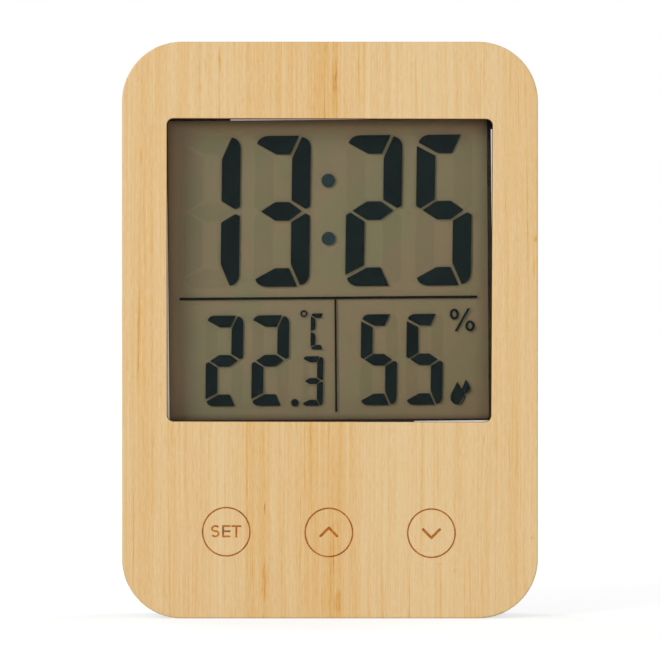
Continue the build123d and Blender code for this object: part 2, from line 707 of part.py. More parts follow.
def battery_bridge_contact():
    """Joins the two cells at the +X end: a coil for one and a dimple for the other."""
    plate = contact_plate(LOWER_CELL_Z, False) + contact_plate(UPPER_CELL_Z, False)
    inner = -WELL_HALF_LENGTH + CONTACT_THICKNESS
    plate += block((-WELL_HALF_LENGTH, inner), (3.0, 6.0), (LOWER_CELL_Z, UPPER_CELL_Z))
    plate += contact_dimple(LOWER_CELL_Z) + contact_spring(UPPER_CELL_Z)
    return mirror(plate, Plane.YZ)


def lead(points, radii):
    """A thin insulated wire along straight runs joined by arcs."""
    path = FilletPolyline(*points, radius=radii)
    section = Plane(origin=path @ 0, z_dir=path % 0) * Circle(0.6)
    return sweep(section, path=path)


def battery_lead_red():
    points = [(-30.8, -0.39, UPPER_CELL_Z), (-37.0, 0.6, 101.0), (-38.5, 1.6, 86.0),
              (-35.0, 0.82, 75.0)]
    return lead(points, [4.0, 5.0])


def battery_lead_black():
    points = [(-30.8, -0.39, LOWER_CELL_Z), (-34.4, 0.6, 90.6), (-35.0, 1.6, 84.0),
              (-31.0, 0.82, 75.0)]
    return lead(points, [2.0, 4.0])


def all_parts():
    board_head = BOARD_BACK + BOARD_SCREW[2]
    holder_head = BOARD_FRONT + BOARD_SCREW[2]
    case_head = COUNTERBORE_FLOOR + CASE_SCREW[2]
    return {
        "bamboo_panel": bamboo_panel(),
        "panel_tape": panel_tape(),
        "window_lens": window_lens(),
        "front_frame": front_frame(),
        "lcd_front_polariser": lcd_front_polariser(),
        "lcd_front_glass": lcd_front_glass(),
        "lcd_rear_glass": lcd_rear_glass(),
        "lcd_reflector": lcd_reflector(),
        "zebra_connector": zebra_connector(),
        "lcd_holder": lcd_holder(),
        "lcd_holder_screws": screws(HOLDER_SCREWS, holder_head, 5.0, BOARD_SCREW),
        "main_circuit_board": main_circuit_board(),
        "board_screws": screws(BOARD_SCREWS, board_head, 5.0, BOARD_SCREW),
        "controller_chip": controller_chip(),
        "touch_chip": touch_chip(),
        "clock_crystal": clock_crystal(),
        "smoothing_capacitor": smoothing_capacitor(),
        "buzzer": buzzer(),
        "humidity_sensor": humidity_sensor(),
        "temperature_sensor": temperature_sensor(),
        "touch_spring_set": touch_spring(KEY_PLACES[0]),
        "touch_spring_up": touch_spring(KEY_PLACES[1]),
        "touch_spring_down": touch_spring(KEY_PLACES[2]),
        "rear_shell": rear_shell(),
        "case_screws": screws(CASE_SCREWS, case_head, 8.0, CASE_SCREW),
        "battery_cell_lower": cell(LOWER_CELL_Z, 1),
        "battery_cell_upper": cell(UPPER_CELL_Z, -1),
        "battery_negative_contact": battery_negative_contact(),
        "battery_positive_contact": battery_positive_contact(),
        "battery_bridge_contact": battery_bridge_contact(),
        "battery_lead_red": battery_lead_red(),
        "battery_lead_black": battery_lead_black(),
        "battery_cover": battery_cover(),
        "stand_flap": stand_flap(),
    }


os.makedirs("parts", exist_ok=True)
for name, shape in all_parts().items():
    export_step(shape, f"parts/{name}.step")
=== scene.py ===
"""Looks of a home weather station: a bamboo front, a digit display and a black case with a stand.

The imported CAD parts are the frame. This script gives each of them its material, adds the printed
figures inside the display, and sets the floor, lights and camera. Sizes here are in millimetres,
in the row frame, and are turned into metres where Blender takes them."""

import json
import math

import bmesh
import bpy
from mathutils import Matrix, Vector

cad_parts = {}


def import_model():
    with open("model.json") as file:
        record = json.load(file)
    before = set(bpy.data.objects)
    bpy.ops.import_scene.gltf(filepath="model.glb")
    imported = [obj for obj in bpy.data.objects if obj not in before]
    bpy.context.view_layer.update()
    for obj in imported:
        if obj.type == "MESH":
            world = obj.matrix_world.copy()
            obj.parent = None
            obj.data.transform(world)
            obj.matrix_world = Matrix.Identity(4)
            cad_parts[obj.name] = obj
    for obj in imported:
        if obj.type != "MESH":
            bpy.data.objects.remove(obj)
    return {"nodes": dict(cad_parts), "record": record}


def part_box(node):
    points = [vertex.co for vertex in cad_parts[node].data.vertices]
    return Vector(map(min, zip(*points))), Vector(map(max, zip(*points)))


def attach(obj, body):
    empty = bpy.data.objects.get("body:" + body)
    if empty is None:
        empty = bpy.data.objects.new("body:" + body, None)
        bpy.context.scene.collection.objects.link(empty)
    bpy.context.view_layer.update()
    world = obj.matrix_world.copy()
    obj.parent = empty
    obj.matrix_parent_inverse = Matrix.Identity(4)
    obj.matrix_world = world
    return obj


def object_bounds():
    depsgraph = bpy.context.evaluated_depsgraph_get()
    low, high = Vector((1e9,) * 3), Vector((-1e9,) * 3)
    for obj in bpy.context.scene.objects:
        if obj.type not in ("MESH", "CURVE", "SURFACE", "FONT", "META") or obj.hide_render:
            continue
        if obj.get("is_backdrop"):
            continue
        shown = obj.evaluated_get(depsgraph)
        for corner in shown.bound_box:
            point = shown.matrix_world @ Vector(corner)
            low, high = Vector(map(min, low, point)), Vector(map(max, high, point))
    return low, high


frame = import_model()
cad_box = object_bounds()

MM = 0.001

# Camera: its distance from the front, and the width that it sees there
CAMERA_DISTANCE = 1000.0
VIEW_WIDTH = 160.2
SENSOR_WIDTH = 36.0

# Light from all around and from the floor, and how bright the camera sees the floor
WORLD_LIGHT = 0.365
FLOOR_LIGHT = 0.19
FLOOR_SIZE = 60000.0
FLOOR_DROP = 0.05
GLOW_NEAR, GLOW_FAR = 0.70, 0.90
GLOW_START, GLOW_END = 300.0, 3000.0
CLEAR_LAYERS = 24

# Display: its turn and the slant of its digits in degrees, and its figures, which lie between the
# glasses. Places on it are measured from its middle, u to the right and v up.
DISPLAY_TURN = 0.45
DIGIT_SLANT = 1.2
FIGURE_THICKNESS = 0.06
FIGURE_HEIGHT = 0.55
TIME_SIZE = {"top": 32.97, "width": 13.6, "height": 36.9, "stroke": 4.55}
WARMTH_SIZE = {"top": -10.87, "width": 9.04, "height": 22.15, "stroke": 2.85}
DAMPNESS_SIZE = {"top": -10.83, "width": 8.9, "height": 22.25, "stroke": 2.85}
TENTH_SIZE = {"top": -20.98, "width": 5.0, "height": 12.1, "stroke": 1.47}
UNIT_SIZE = {"top": -10.51, "width": 3.68, "height": 8.85, "stroke": 1.12}
COLON_U = -0.02
COLON_HEIGHTS = (21.94, 7.74)
COLON_RADIUS = 1.65
POINT = (-8.63, -32.3)
POINT_RADIUS = 0.92
DEGREE = (-6.2, -10.56)
DEGREE_RADII = (0.87, 0.48)
PERCENT_RINGS = ((30.58, -10.95), (34.36, -13.85))
PERCENT_SLASH = ((30.6, -15.15), (31.24, -15.15), (34.44, -9.55), (33.8, -9.55))
DROPS = (
    {"tip": (31.16, -27.5), "middle": (31.26, -31.3), "radius": 1.8},
    {"tip": (33.26, -26.9), "middle": (33.36, -29.4), "radius": 1.08},
)
DIVIDER_V = -6.75
DIVIDER_HALF = 0.31
DIVIDER_ENDS = (-36.58, 36.18)
UPRIGHT_SIDES = (1.28, 1.74)
UPRIGHT_FOOT = -34.6

# Keys: the radius of the burnt rings, and how far and how strongly they tan the wood beside them
RING_RADIUS = 5.81
ENGRAVED_REACH = RING_RADIUS + 0.9
TAN_START, TAN_END = 0.16, 0.36
TAN_STRENGTH = 0.15

# Bamboo: the right edge of each strip and how amber it is, from 0 for pale to 1 for tan
STRIPS = (
    (-46.2, 0.28), (-42.4, 0.50), (-37.4, 0.20), (-36.0, 0.42), (-30.6, 0.22), (-24.4, 0.10),
    (-20.6, 0.20), (-16.4, 0.66), (-9.0, 0.20), (-5.4, 0.42), (0.2, 0.56), (2.2, 0.62),
    (7.6, 0.34), (19.4, 0.08), (27.0, 0.04), (31.2, 0.18), (36.8, 0.14), (41.6, 0.16),
    (43.6, 0.36), (50.6, 0.26),
)
# Single darker fibres and knots in the bamboo: x, z, half width, half height, strength
MARKS = (
    (-43.2, 70.0, 0.40, 95.0, 0.50), (-36.6, 70.0, 0.28, 95.0, 0.55), (-34.5, 137.0, 0.22, 9.0, 0.50),
    (-20.2, 26.0, 0.35, 34.0, 0.80), (-20.0, 132.0, 0.45, 26.0, 0.45), (-8.2, 70.0, 0.25, 95.0, 0.50),
    (-4.6, 70.0, 0.35, 95.0, 0.70), (-0.3, 60.0, 0.30, 95.0, 0.60), (0.8, 130.0, 0.60, 17.0, 0.80),
    (1.5, 130.0, 0.35, 19.0, 1.00), (7.2, 122.0, 0.30, 34.0, 0.50), (6.3, 20.0, 0.30, 34.0, 0.35),
    (14.2, 60.0, 0.20, 95.0, 0.30), (26.8, 134.0, 0.25, 10.0, 0.40), (29.8, 60.0, 0.22, 95.0, 0.25),
    (35.7, 127.0, 0.45, 9.0, 0.60), (40.3, 43.6, 0.35, 6.0, 0.70), (37.3, 43.4, 0.35, 2.6, 0.80),
    (-45.9, 112.0, 0.55, 3.0, 0.90), (-49.3, 61.3, 0.45, 2.2, 0.50), (-41.0, 55.5, 0.80, 3.2, 0.45),
    (-26.8, 135.4, 0.50, 4.6, 1.10), (-30.2, 134.4, 0.70, 2.6, 0.50), (-16.0, 8.6, 1.00, 8.0, 1.10),
    (-19.0, 11.0, 0.45, 5.0, 0.60), (-15.8, 26.4, 0.35, 2.4, 1.10), (10.6, 45.0, 0.45, 3.4, 0.70),
    (12.4, 45.6, 0.40, 3.2, 0.60), (30.5, 11.6, 0.70, 0.9, 1.20), (26.6, 13.2, 1.60, 0.45, 0.60),
    (49.9, 92.3, 0.50, 1.5, 1.40), (49.6, 85.0, 0.35, 4.0, 0.80), (49.2, 19.6, 0.80, 0.6, 1.20),
    (47.6, 7.8, 0.80, 3.0, 0.50), (2.0, 4.0, 1.60, 4.0, 0.80), (-1.6, 4.5, 0.90, 5.0, 0.50),
)


def middle_of(node):
    """The middle of a CAD node's box, in millimetres."""
    low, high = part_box(node)
    return (low + high) / 2 / MM


def tint(red, green, blue):
    """An sRGB colour, 0 to 255, as the linear colour that Blender's sockets take."""
    linear = [
        value / 255 / 12.92 if value <= 10 else ((value / 255 + 0.055) / 1.055) ** 2.4
        for value in (red, green, blue)
    ]
    return (*linear, 1.0)


class Paint:
    """A procedural material: a Principled shader, with short calls for the nodes that drive it."""

    def __init__(self, name, **constants):
        self.material = bpy.data.materials.new(name)
        self.material.use_nodes = True
        self.tree = self.material.node_tree
        self.shader = self.tree.nodes["Principled BSDF"]
        for socket, value in constants.items():
            self.shader.inputs[socket.replace("_", " ")].default_value = value
        self.coordinates = self.node("TexCoord")
        self.place = self.vector("MULTIPLY", self.coordinates.outputs["Object"], (1 / MM,) * 3)

    def put(self, socket, value):
        """Links a socket to another one, or sets its constant."""
        if isinstance(value, bpy.types.NodeSocket):
            self.tree.links.new(value, socket)
        else:
            socket.default_value = value

    def node(self, kind, *values, **settings):
        made = self.tree.nodes.new("ShaderNode" + kind)
        for key, value in settings.items():
            setattr(made, key, value)
        for socket, value in zip(made.inputs, values):
            self.put(socket, value)
        return made

    def vector(self, operation, *values):
        made = self.node("VectorMath", *values, operation=operation)
        return made.outputs["Value" if operation in ("LENGTH", "DISTANCE") else "Vector"]

    def math(self, operation, *values):
        return self.node("Math", *values, operation=operation).outputs[0]

    def add(self, *values):
        total = values[0]
        for value in values[1:]:
            total = self.math("ADD", total, value)
        return total

    def axes(self, vector):
        return self.node("SeparateXYZ", vector).outputs

    def noise(self, size, detail=2.0, roughness=0.5, at=None):
        """Noise from 0 to 1 with features about size millimetres along x, y and z."""
        scaled = self.vector("DIVIDE", self.place if at is None else at, size)
        made = self.node("TexNoise", scaled)
        made.inputs["Scale"].default_value = 1.0
        made.inputs["Detail"].default_value = detail
        made.inputs["Roughness"].default_value = roughness
        return made.outputs[0]

    def step(self, value, low, high, start=0.0, end=1.0):
        """A smooth step from start, at or below low, to end, at or above high."""
        made = self.node("MapRange", value, low, high, start, end, interpolation_type="SMOOTHSTEP")
        return made.outputs[0]

    def centred(self, value, amount):
        """A 0 to 1 value as a swing of amount about zero."""
        return self.math("MULTIPLY_ADD", value, amount, -amount / 2)

    def ramp(self, value, stops, interpolation="LINEAR"):
        """A colour for each value; stops are (place from 0 to 1, colour)."""
        made = self.node("ValToRGB", value)
        made.color_ramp.interpolation = interpolation
        elements = made.color_ramp.elements
        while len(elements) < len(stops):
            elements.new(1.0)
        for element, (place, colour) in zip(elements, stops):
            element.position = place
            element.color = colour
        return made.outputs[0]

    def blend(self, amount, first, second):
        """The first colour at amount 0, the second at 1."""
        made = self.node("Mix", data_type="RGBA")
        self.put(made.inputs[0], amount)
        self.put(made.inputs[6], first)
        self.put(made.inputs[7], second)
        return made.outputs[2]

    def spot(self, x, z, half_width, half_height):
        """1 in the middle of an upright oval at x, z, and 0 outside it."""
        scale = (1 / half_width, 0.0, 1 / half_height)
        shift = (-x / half_width, 0.0, -z / half_height)
        offset = self.vector("MULTIPLY_ADD", self.place, scale, shift)
        return self.step(self.vector("LENGTH", offset), 0.25, 1.0, 1.0, 0.0)

    def finish(self, colour=None, roughness=None, relief=None, depth=0.0, metallic=None):
        """Joins the patterns to the shader; relief is raised by up to depth millimetres."""
        if colour is not None:
            self.put(self.shader.inputs["Base Color"], colour)
        if roughness is not None:
            self.put(self.shader.inputs["Roughness"], roughness)
        if metallic is not None:
            self.put(self.shader.inputs["Metallic"], metallic)
        if relief is not None:
            bump = self.node("Bump")
            bump.inputs["Distance"].default_value = depth * MM
            self.put(bump.inputs["Height"], relief)
            self.put(self.shader.inputs["Normal"], bump.outputs[0])
        return self.material


def key_middles():
    """The middle of each touch key, over its spring."""
    return [middle_of(f"touch_spring_{key}") for key in ("set", "up", "down")]


def burnt(paint, front):
    """How burnt the bamboo is: 1 in the engraved lines of the keys, fading out beside the rings."""
    distance = None
    for middle in key_middles():
        offset = paint.vector("SUBTRACT", paint.place, (middle.x, 0.0, middle.z))
        offset = paint.vector("MULTIPLY", offset, (1.0, 0.0, 1.0))
        length = paint.vector("LENGTH", offset)
        distance = length if distance is None else paint.math("MINIMUM", distance, length)
    depth = paint.axes(paint.place)[1]
    sunk = paint.step(depth, front + 0.05, front + 0.16)
    near = paint.step(distance, ENGRAVED_REACH, ENGRAVED_REACH + 0.1, 1.0, 0.0)
    from_ring = paint.math("ABSOLUTE", paint.math("SUBTRACT", distance, RING_RADIUS))
    tan = paint.step(from_ring, TAN_START, TAN_END, TAN_STRENGTH, 0.0)
    return paint.math("MAXIMUM", paint.math("MULTIPLY", sunk, near), tan)


def window_wall(paint):
    """1 on the cut walls and the rounded edge of the window, which are coloured a darker brown."""
    low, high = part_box("window_lens")
    middle, half = (low + high) / 2 / MM, (high - low) / 2 / MM
    offset = paint.vector("ABSOLUTE", paint.vector("SUBTRACT", paint.place, tuple(middle)))
    across, _, up = paint.axes(offset)
    inside = paint.math("MULTIPLY", paint.math("LESS_THAN", across, half.x),
                        paint.math("LESS_THAN", up, half.z))
    facing = paint.math("ABSOLUTE", paint.axes(paint.coordinates.outputs["Normal"])[1])
    return paint.math("MULTIPLY", inside, paint.step(facing, 0.35, 0.9, 1.0, 0.0))


def bamboo_material():
    """Pale laminated bamboo: upright strips, fine fibres, amber streaks, knots and end grain."""
    paint = Paint("bamboo", Specular_IOR_Level=0.3)
    low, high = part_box("bamboo_panel")
    left, front, width = low.x / MM, low.y / MM, (high.x - low.x) / MM
    sway = paint.centred(paint.noise((14.0, 14.0, 34.0)), 1.0)
    across = paint.vector("ADD", paint.place, paint.node("CombineXYZ", sway).outputs[0])
    x = paint.axes(across)[0]
    stops = []
    edge = left
    for right, amber in STRIPS:
        stops.append((((edge + right) / 2 - left) / width, (amber,) * 3 + (1.0,)))
        edge = right
    place_across = paint.math("MULTIPLY_ADD", x, 1 / width, -left / width)
    strips = paint.ramp(place_across, stops, "B_SPLINE")
    bands = paint.noise((1.7, 40.0, 110.0), 1.0, at=across)
    fibres = paint.noise((0.30, 20.0, 36.0), 3.0, 0.7, at=across)
    fine = paint.noise((0.20, 6.0, 2.6), 2.0, 0.6, at=across)
    streaks = paint.step(paint.noise((0.62, 20.0, 46.0), 2.0, at=across), 0.60, 0.76)
    pale = paint.step(paint.noise((0.5, 31.0, 37.0), 2.0, at=across), 0.62, 0.78)
    pores = paint.step(paint.noise((0.10, 5.0, 1.6), 2.0, at=across), 0.66, 0.74)
    broken = paint.step(paint.noise((0.5, 9.0, 7.0), 2.0), 0.25, 0.7, 0.10, 0.80)
    marks = 0.0
    for *oval, strength in MARKS:
        marks = paint.math("MULTIPLY_ADD", paint.spot(*oval), strength, marks)
    amber = paint.add(
        strips,
        paint.centred(bands, 0.85),
        paint.centred(fibres, 1.6),
        paint.centred(fine, 1.5),
        paint.math("MULTIPLY", streaks, 0.75),
        paint.math("MULTIPLY", pale, -0.40),
        paint.math("MULTIPLY", pores, 0.35),
        paint.math("MULTIPLY", marks, broken),
    )
    tones = (
        (0.00, tint(234, 206, 158)),
        (0.22, tint(231, 199, 147)),
        (0.38, tint(228, 191, 135)),
        (0.55, tint(226, 182, 116)),
        (0.72, tint(221, 169, 92)),
        (0.86, tint(206, 145, 70)),
        (1.00, tint(172, 108, 50)),
    )
    wood = paint.ramp(paint.math("MULTIPLY_ADD", amber, 0.45, 0.22), tones)
    facing = paint.math("ABSOLUTE", paint.axes(paint.coordinates.outputs["Normal"])[2])
    dots = paint.noise((0.22, 0.22, 2.0), 2.0, 0.6)
    end_grain = paint.ramp(dots, ((0.35, tint(164, 112, 58)), (0.6, tint(221, 181, 124))))
    wood = paint.blend(paint.step(facing, 0.75, 0.95, 0.0, 0.75), wood, end_grain)
    char = paint.noise((1.6, 1.6, 1.6), 4.0, 0.65)
    scorched = paint.ramp(char, ((0.32, tint(148, 74, 0)), (0.68, tint(213, 131, 24))))
    wood = paint.blend(burnt(paint, front), wood, scorched)
    dark_wall_tone = paint.ramp(char, ((0.3, tint(88, 48, 12)), (0.7, tint(158, 98, 38))))
    wood = paint.blend(window_wall(paint), wood, dark_wall_tone)
    relief = paint.add(paint.centred(fibres, 1.0), paint.math("MULTIPLY", pores, -0.6))
    roughness = paint.add(0.52, paint.centred(fibres, -0.35), paint.math("MULTIPLY", pores, 0.1))
    return paint.finish(wood, roughness, relief, 0.03)


def moulded(name, colour, roughness=0.5, grain=0.16, depth=0.012, **constants):
    """Moulded plastic with a fine spark-eroded grain and slightly uneven gloss."""
    paint = Paint(name, **constants)
    texture = paint.noise((grain, grain, grain), 2.0, 0.55)
    cloud = paint.noise((11.0, 11.0, 11.0), 3.0)
    red, green, blue = colour
    lighter = tint(red + 7, green + 7, blue + 7)
    shade = paint.blend(paint.step(cloud, 0.35, 0.7), tint(*colour), lighter)
    rough = paint.add(roughness, paint.centred(cloud, 0.16), paint.centred(texture, 0.12))
    return paint.finish(shade, rough, texture, depth)


def metal(name, colour, roughness=0.32, grain=(0.08, 0.08, 2.5), depth=0.004):
    """Drawn or rolled metal: fine drag lines and a little tarnish."""
    paint = Paint(name, Metallic=1.0)
    lines = paint.noise(grain, 3.0, 0.6)
    tarnish = paint.noise((2.4, 2.4, 2.4), 3.0)
    red, green, blue = colour
    darker = tint(red * 0.78, green * 0.76, blue * 0.72)
    shade = paint.blend(paint.step(tarnish, 0.42, 0.72), tint(*colour), darker)
    rough = paint.add(roughness, paint.centred(lines, 0.22), paint.centred(tarnish, 0.12))
    return paint.finish(shade, rough, lines, depth)


def clear_layer(name, colour, alpha, roughness=0.05):
    """A clear sheet: almost all light goes through, and the shader's gloss stays."""
    paint = Paint(name, Alpha=alpha, IOR=1.49)
    smear = paint.noise((17.0, 17.0, 17.0), 2.0)
    shade = paint.blend(smear, tint(*colour), tint(*(value + 6 for value in colour)))
    rough = paint.step(smear, 0.3, 0.8, roughness, roughness + 0.05)
    return paint.finish(shade, rough)


def reflector_material():
    """The display's khaki back layer with a fine greenish mottle, and painted light: painted shade
    darker and browner low on the right, painted warm bounce light along the left and top, and a
    painted dark shade band at the edges.
    """
    paint = Paint("lcd_reflector", Specular_IOR_Level=0.1)
    low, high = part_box("lcd_reflector")
    x, _, z = paint.axes(paint.place)
    along = paint.math("MULTIPLY_ADD", x, MM / (high.x - low.x), -low.x / (high.x - low.x))
    down = paint.math("MULTIPLY_ADD", z, -MM / (high.z - low.z), high.z / (high.z - low.z))
    # Painted shade: the colour turns darker and browner towards the lower right corner.
    corner = paint.step(paint.add(along, down), 0.9, 2.0)
    width, height = (high.x - low.x) / MM, (high.z - low.z) / MM
    # Painted warm bounce light: a lighter, warmer colour along the left 9 mm (beside) and the top 8
    # mm (under), where the window wall shades the display.
    beside = paint.step(along, 0.0, 9.0 / width, 1.0, 0.0)
    under = paint.step(down, 0.0, 8.0 / height, 1.0, 0.0)
    # Painted shade along the bottom 3 mm of the display, used below.
    over = paint.step(down, 1.0 - 3.0 / height, 1.0)
    base = paint.blend(corner, tint(164, 150, 115), tint(160, 129, 90))
    mottle = paint.noise((0.7, 0.7, 0.7), 3.0, 0.6)
    speckled = paint.blend(paint.step(mottle, 0.3, 0.7), tint(153, 149, 113), tint(168, 150, 118))
    shade = paint.blend(0.4, base, speckled)
    patches = paint.step(paint.noise((9.0, 9.0, 13.0), 2.0), 0.35, 0.65)
    shade = paint.blend(0.3, shade, paint.blend(patches, tint(146, 150, 110), tint(172, 146, 118)))
    # Painted shade: a dark brown band along the left and top edges (rim) and the bottom edge (over),
    # standing in for the recess's occlusion.
    rim = paint.step(paint.math("MINIMUM", along, down), 0.0, 4.6 / width, 0.75, 0.0)
    shade = paint.blend(paint.math("MAXIMUM", beside, under), shade, tint(186, 152, 112))
    shade = paint.blend(paint.math("MAXIMUM", rim, over), shade, tint(104, 76, 50))
    return paint.finish(shade, paint.centred(mottle, 0.1), mottle, 0.01)


def figure_material(name, dark, light, **constants):
    """The ink-like look of liquid crystal, uneven over a few millimetres."""
    paint = Paint(name, Specular_IOR_Level=0.15, Roughness=0.45, **constants)
    cloud = paint.noise((6.0, 6.0, 6.0), 3.0, 0.6)
    return paint.finish(paint.blend(paint.step(cloud, 0.3, 0.7), tint(*dark), tint(*light)))


def tape_material():
    """White paper tape: soft fibres and a little yellowing."""
    paint = Paint("tape_white", Specular_IOR_Level=0.2)
    fibres = paint.noise((0.2, 0.2, 1.1), 3.0, 0.6)
    cloud = paint.noise((7.0, 7.0, 7.0))
    shade = paint.blend(cloud, tint(248, 243, 240), tint(240, 233, 227))
    return paint.finish(shade, paint.add(0.7, paint.centred(fibres, 0.2)), fibres, 0.02)


def board_material():
    """A green circuit board: tracks under the lacquer and tinned pads."""
    paint = Paint("board_green", Coat_Weight=0.4, Coat_Roughness=0.2)
    tracks = paint.node("TexWave", paint.place, bands_direction="DIAGONAL", wave_profile="TRI")
    tracks.inputs["Scale"].default_value = 0.32
    tracks.inputs["Distortion"].default_value = 2.5
    raised = paint.step(tracks.outputs[1], 0.72, 0.78)
    pads = paint.node("TexVoronoi", paint.vector("DIVIDE", paint.place, (3.2, 3.2, 3.2)))
    pads.inputs["Scale"].default_value = 1.0
    dots = paint.step(pads.outputs["Distance"], 0.13, 0.16, 1.0, 0.0)
    green = paint.blend(raised, tint(20, 84, 48), tint(34, 116, 66))
    shade = paint.blend(dots, green, tint(200, 200, 196))
    rough = paint.step(dots, 0.0, 1.0, 0.42, 0.3)
    return paint.finish(shade, rough, paint.add(raised, dots), 0.03, dots)


def cell_material(node, positive_side):
    """A dry cell's printed jacket: a grey body with a minus sign, and a teal band with a plus."""
    paint = Paint(node + "_jacket", Coat_Weight=0.5, Coat_Roughness=0.15)
    low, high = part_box(node)
    middle = (low + high) / 2 / MM
    half = (high.x - low.x) / 2 / MM
    x, _, z = paint.axes(paint.place)
    along = paint.math("MULTIPLY_ADD", x, positive_side, -middle.x * positive_side)
    up = paint.math("SUBTRACT", z, middle.z)
    band = paint.step(along, half * 0.28, half * 0.28 + 0.05)
    rim = paint.math("MULTIPLY", paint.step(along, half * 0.2, half * 0.2 + 0.05),
                     paint.math("SUBTRACT", 1.0, band))
    print_grain = paint.noise((0.3, 0.3, 0.3), 2.0)
    body = paint.blend(print_grain, tint(70, 76, 84), tint(82, 88, 96))
    shade = paint.blend(band, body, tint(24, 128, 122))
    shade = paint.blend(rim, shade, tint(214, 216, 214))
    for centre, plus in ((half * 0.62, True), (-half * 0.72, False)):
        across = paint.math("ABSOLUTE", paint.math("SUBTRACT", along, centre))
        beside = paint.math("ABSOLUTE", up)
        sign = paint.math("MULTIPLY", paint.step(across, 1.5, 1.55, 1.0, 0.0),
                          paint.step(beside, 0.35, 0.4, 1.0, 0.0))
        if plus:
            stem = paint.math("MULTIPLY", paint.step(across, 0.35, 0.4, 1.0, 0.0),
                              paint.step(beside, 1.5, 1.55, 1.0, 0.0))
            sign = paint.math("MAXIMUM", sign, stem)
        shade = paint.blend(sign, shade, tint(236, 236, 230))
    from_middle = paint.math("ABSOLUTE", along)
    steel_end = paint.step(from_middle, half - 1.35, half - 1.3)
    shade = paint.blend(steel_end, shade, tint(196, 196, 192))
    rough = paint.step(steel_end, 0.0, 1.0, 0.34, 0.26)
    return paint.finish(shade, rough, print_grain, 0.004, steel_end)


def lacquered_wire(name, colour):
    """Soft flexible insulation on a thin lead."""
    return moulded(name, colour, roughness=0.42, grain=0.5, depth=0.02)


def cell_ends():
    """Each cell's positive side: -1 left, 1 right. The cells lie head to tail."""
    positive = middle_of("battery_positive_contact")
    side = math.copysign(1.0, positive.x)
    sides = {}
    for node in ("battery_cell_lower", "battery_cell_upper"):
        same_row = abs(middle_of(node).z - positive.z) < 3.0
        sides[node] = side if same_row else -side
    return sides


def paint_frame():
    """Gives every CAD node the material of its slot in the record."""
    materials = {
        "bamboo": bamboo_material(),
        "tape_white": tape_material(),
        "clear_lens": clear_layer("clear_lens", (16, 17, 15), 0.07, 0.03),
        "black_abs": moulded("black_abs", (15, 15, 15), roughness=0.5, Specular_IOR_Level=0.28),
        "lcd_film": clear_layer("lcd_film", (22, 22, 16), 0.04, 0.2),
        "lcd_glass": clear_layer("lcd_glass", (30, 36, 32), 0.02),
        "lcd_reflector": reflector_material(),
        "zebra_rubber": moulded("zebra_rubber", (52, 52, 54), roughness=0.7),
        "white_abs": moulded("white_abs", (206, 205, 198), roughness=0.45),
        "screw_steel": metal("screw_steel", (150, 150, 148)),
        "board_green": board_material(),
        "black_resin": moulded("black_resin", (16, 16, 17), roughness=0.25, grain=2.5, depth=0.05),
        "chip_plastic": moulded("chip_plastic", (34, 34, 36), roughness=0.6),
        "tinned_metal": metal("tinned_metal", (190, 190, 188), roughness=0.25),
        "capacitor_can": metal("capacitor_can", (168, 170, 176), roughness=0.3),
        "sensor_white": moulded("sensor_white", (222, 222, 216), roughness=0.55),
        "spring_steel": metal("spring_steel", (176, 174, 168), roughness=0.25),
        "contact_steel": metal("contact_steel", (196, 192, 182), roughness=0.28),
        "wire_red": lacquered_wire("wire_red", (150, 22, 20)),
        "wire_black": lacquered_wire("wire_black", (22, 22, 24)),
    }
    sides = cell_ends()
    for part in frame["record"]["subparts"]:
        name = part["node"]
        slots = frame["nodes"][name].data.materials
        slots.clear()
        if name in sides:
            slots.append(cell_material(name, sides[name]))
        else:
            slots.append(materials[part["material_slot"]])


def bend(start, corner, end, steps=6):
    """Points on the curve that leaves start and reaches end, drawn towards corner."""
    points = []
    for step in range(steps + 1):
        t = step / steps
        points.append(tuple(
            (1 - t) ** 2 * a + 2 * t * (1 - t) * b + t ** 2 * c
            for a, b, c in zip(start, corner, end)
        ))
    return points


def circle(u, v, radius, stretch=1.0, steps=48):
    """Points on a circle, or on an oval where the height is stretched."""
    turns = [2 * math.pi * step / steps for step in range(steps)]
    return [(u + radius * math.cos(a), v + stretch * radius * math.sin(a)) for a in turns]


def segments(width, height):
    """The seven segments of a digit, in stroke widths, from its top left corner, y down."""
    middle = height / 2
    shapes = {
        "a": bend((0.09, 0.42), (0.20, 0.06), (0.64, 0.0))
        + [(width - 0.64, 0.0), (width - 1.09, 1.0), (1.15, 1.0)],
        "b": bend((width - 0.49, 0.07), (width - 0.06, 0.14), (width, 0.62))
        + [(width, middle - 0.25), (width - 0.24, middle - 0.12),
           (width - 1.0, middle - 0.58), (width - 1.0, 1.22)],
        "f": [(0.0, 0.60), (1.0, 1.13), (1.0, middle - 0.58), (0.23, middle - 0.09),
              (0.0, middle - 0.23)],
        "g": [(0.35, middle), (1.12, middle - 0.5), (width - 1.12, middle - 0.5),
              (width - 0.43, middle), (width - 1.12, middle + 0.5), (1.12, middle + 0.5)],
    }
    for upper, lower in (("a", "d"), ("b", "c"), ("f", "e")):
        shapes[lower] = [(x, height - y) for x, y in shapes[upper]]
    return shapes


LIT = {"1": "bc", "2": "abged", "3": "abgcd", "5": "afgcd", "C": "afed"}


def digit(sign, right, top, width, height, stroke):
    """(lit outlines, dark outlines) of one digit; right is its right edge at half height."""
    lean = math.tan(math.radians(DIGIT_SLANT))
    lit, unlit = [], []
    for name, shape in segments(width / stroke, height / stroke).items():
        outline = [
            (right - width + x * stroke + (height / 2 - y * stroke) * lean, top - y * stroke)
            for x, y in shape
        ]
        (lit if name in LIT[sign] else unlit).append(outline)
    return lit, unlit


